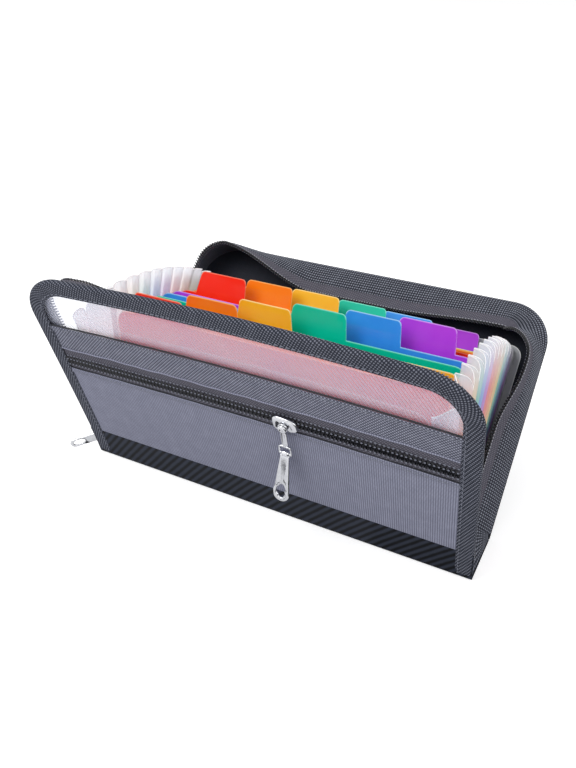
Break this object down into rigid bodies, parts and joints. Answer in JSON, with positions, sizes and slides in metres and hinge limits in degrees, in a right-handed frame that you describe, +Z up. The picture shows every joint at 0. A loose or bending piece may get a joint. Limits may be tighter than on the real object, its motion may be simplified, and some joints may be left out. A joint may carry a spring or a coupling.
{
  "type": "accordion file folder",
  "caption": "Zip-around accordion file with a cloth pocket cover, a walled back cover and a fan of tabbed coloured film dividers.",
  "frame": {"origin": "centre of the spine's underside, on the surface it stands on", "axes": "+X along the width to the right seen from the front, +Y to the back, +Z up"},
  "size_m": [0.2851, 0.2059, 0.149],
  "materials": {
    "grey_oxford": "woven polyester oxford",
    "black_twill": "ribbed black twill",
    "binding_tape": "ribbed binding tape",
    "wall_webbing": "ribbed webbing",
    "lining_cloth": "plain lining cloth",
    "zip_tape": "herringbone zip tape",
    "zip_coil": "nylon coil",
    "stiffener_board": "polypropylene board",
    "frosted_film": "frosted polypropylene",
    "nickel_plate": "nickel-plated zinc",
    "red_film": "tinted polypropylene film",
    "orange_film": "tinted polypropylene film",
    "yellow_film": "tinted polypropylene film",
    "green_film": "tinted polypropylene film",
    "blue_film": "tinted polypropylene film",
    "purple_film": "tinted polypropylene film"
  },
  "bodies": {
    "spine": {"spine_cover": "black_twill", "spine_board": "stiffener_board", "spine_lining": "lining_cloth", "accordion_base": "frosted_film", "left_gusset": "frosted_film", "right_gusset": "frosted_film"},
    "front_cover": {"front_sheet": "frosted_film", "header_strip": "grey_oxford", "pocket_panel": "grey_oxford", "base_strip": "black_twill", "front_binding": "binding_tape", "pocket_zip_tape_upper": "zip_tape", "pocket_zip_tape_lower": "zip_tape", "pocket_zip_coil_upper": "zip_coil", "pocket_zip_coil_lower": "zip_coil", "cover_zip_tape": "zip_tape", "cover_zip_coil": "zip_coil", "accordion_front_sheet": "frosted_film"},
    "back_tray": {"back_fabric": "black_twill", "back_board": "stiffener_board", "back_lining": "lining_cloth", "tray_wall": "wall_webbing", "wall_lining": "lining_cloth", "tray_zip_tape": "zip_tape", "tray_zip_coil": "zip_coil", "accordion_back_sheet": "frosted_film"},
    "pocket_slider": {"pocket_slider": "nickel_plate"},
    "pocket_link": {"pocket_link": "nickel_plate"},
    "pocket_pull": {"pocket_pull": "nickel_plate"},
    "main_slider": {"main_slider": "nickel_plate"},
    "main_pull": {"main_pull": "nickel_plate"},
    "divider_01_red_front": {"divider_01_red_front": "red_film"},
    "divider_02_orange_front": {"divider_02_orange_front": "orange_film"},
    "divider_03_yellow_front": {"divider_03_yellow_front": "yellow_film"},
    "divider_04_green_front": {"divider_04_green_front": "green_film"},
    "divider_05_blue_front": {"divider_05_blue_front": "blue_film"},
    "divider_06_purple_front": {"divider_06_purple_front": "purple_film"},
    "divider_07_red_back": {"divider_07_red_back": "red_film"},
    "divider_08_orange_back": {"divider_08_orange_back": "orange_film"},
    "divider_09_yellow_back": {"divider_09_yellow_back": "yellow_film"},
    "divider_10_green_back": {"divider_10_green_back": "green_film"},
    "divider_11_blue_back": {"divider_11_blue_back": "blue_film"},
    "divider_12_purple_back": {"divider_12_purple_back": "purple_film"}
  },
  "joints": [
    {"name": "front_hinge", "type": "hinge", "parent": "spine", "child": "front_cover", "pos_m": [0, -0.02, 0.002], "axis": [1, 0, 0], "range_deg": [-20, 40], "deforming": ["left_gusset", "right_gusset"]},
    {"name": "back_hinge", "type": "hinge", "parent": "spine", "child": "back_tray", "pos_m": [0, 0.02, 0.002], "axis": [-1, 0, 0], "range_deg": [-45, 20], "deforming": ["left_gusset", "right_gusset", "tray_wall", "wall_lining", "tray_zip_tape", "tray_zip_coil"]},
    {"name": "pocket_zip_slide", "type": "slide", "parent": "front_cover", "child": "pocket_slider", "axis": [1, 0, 0], "range_m": [-0.1412, 0.0862]},
    {"name": "pocket_link_swing", "type": "hinge", "parent": "pocket_slider", "child": "pocket_link", "pos_m": [0.0275, -0.05595, 0.08629], "axis": [0, -0.9397, -0.342], "range_deg": [-70, 70]},
    {"name": "pocket_pull_lift", "type": "hinge", "parent": "pocket_link", "child": "pocket_pull", "pos_m": [0.02596, -0.04844, 0.06567], "axis": [-0.9976, -0.0239, 0.0656], "range_deg": [-22, 100]},
    {"name": "main_zip_slide", "type": "slide", "parent": "front_cover", "child": "main_slider", "axis": [0, -0.342, 0.9397], "range_m": [0, 0.115]},
    {"name": "main_pull_swing", "type": "hinge", "parent": "main_slider", "child": "main_pull", "pos_m": [-0.13365, -0.01342, 0.01025], "axis": [0, -0.342, 0.9397], "range_deg": [-115, 6]},
    {"name": "divider_01_red_front_turn", "type": "hinge", "parent": "spine", "child": "divider_01_red_front", "pos_m": [0, -0.0153, 0.0032], "axis": [1, 0, 0], "range_deg": [-4.62, 9.22]},
    {"name": "divider_02_orange_front_turn", "type": "hinge", "parent": "spine", "child": "divider_02_orange_front", "pos_m": [0, -0.0124, 0.0032], "axis": [1, 0, 0], "range_deg": [-0.256, 0.493]},
    {"name": "divider_03_yellow_front_turn", "type": "hinge", "parent": "spine", "child": "divider_03_yellow_front", "pos_m": [0, -0.0095, 0.0032], "axis": [-1, 0, 0], "range_deg": [-4.15, 1.85]},
    {"name": "divider_04_green_front_turn", "type": "hinge", "parent": "spine", "child": "divider_04_green_front", "pos_m": [0, -0.0066, 0.0032], "axis": [-1, 0, 0], "range_deg": [-8.51, 3.79]},
    {"name": "divider_05_blue_front_turn", "type": "hinge", "parent": "spine", "child": "divider_05_blue_front", "pos_m": [0, -0.0037, 0.0032], "axis": [-1, 0, 0], "range_deg": [-12.88, 5.73]},
    {"name": "divider_06_purple_front_turn", "type": "hinge", "parent": "spine", "child": "divider_06_purple_front", "pos_m": [0, -0.0008, 0.0032], "axis": [-1, 0, 0], "range_deg": [-17.24, 7.67]},
    {"name": "divider_07_red_back_turn", "type": "hinge", "parent": "spine", "child": "divider_07_red_back", "pos_m": [0, 0.0021, 0.0032], "axis": [-1, 0, 0], "range_deg": [-21.6, 9.61]},
    {"name": "divider_08_orange_back_turn", "type": "hinge", "parent": "spine", "child": "divider_08_orange_back", "pos_m": [0, 0.005, 0.0032], "axis": [-1, 0, 0], "range_deg": [-25.96, 11.55]},
    {"name": "divider_09_yellow_back_turn", "type": "hinge", "parent": "spine", "child": "divider_09_yellow_back", "pos_m": [0, 0.0079, 0.0032], "axis": [-1, 0, 0], "range_deg": [-30.33, 13.49]},
    {"name": "divider_10_green_back_turn", "type": "hinge", "parent": "spine", "child": "divider_10_green_back", "pos_m": [0, 0.0108, 0.0032], "axis": [-1, 0, 0], "range_deg": [-34.69, 15.43]},
    {"name": "divider_11_blue_back_turn", "type": "hinge", "parent": "spine", "child": "divider_11_blue_back", "pos_m": [0, 0.0137, 0.0032], "axis": [-1, 0, 0], "range_deg": [-39.06, 17.37]},
    {"name": "divider_12_purple_back_turn", "type": "hinge", "parent": "spine", "child": "divider_12_purple_back", "pos_m": [0, 0.0166, 0.0032], "axis": [-1, 0, 0], "range_deg": [-43.42, 19.31]}
  ],
  "couplings": [
    {"joint": "divider_01_red_front_turn", "follows": "front_hinge", "ratio": 0.23},
    {"joint": "divider_02_orange_front_turn", "follows": "front_hinge", "ratio": 0.011818},
    {"joint": "divider_03_yellow_front_turn", "follows": "back_hinge", "ratio": 0.091717},
    {"joint": "divider_04_green_front_turn", "follows": "back_hinge", "ratio": 0.18869},
    {"joint": "divider_05_blue_front_turn", "follows": "back_hinge", "ratio": 0.28566},
    {"joint": "divider_06_purple_front_turn", "follows": "back_hinge", "ratio": 0.38263},
    {"joint": "divider_07_red_back_turn", "follows": "back_hinge", "ratio": 0.4796},
    {"joint": "divider_08_orange_back_turn", "follows": "back_hinge", "ratio": 0.57657},
    {"joint": "divider_09_yellow_back_turn", "follows": "back_hinge", "ratio": 0.67353},
    {"joint": "divider_10_green_back_turn", "follows": "back_hinge", "ratio": 0.7705},
    {"joint": "divider_11_blue_back_turn", "follows": "back_hinge", "ratio": 0.86747},
    {"joint": "divider_12_purple_back_turn", "follows": "back_hinge", "ratio": 0.96444}
  ]
}
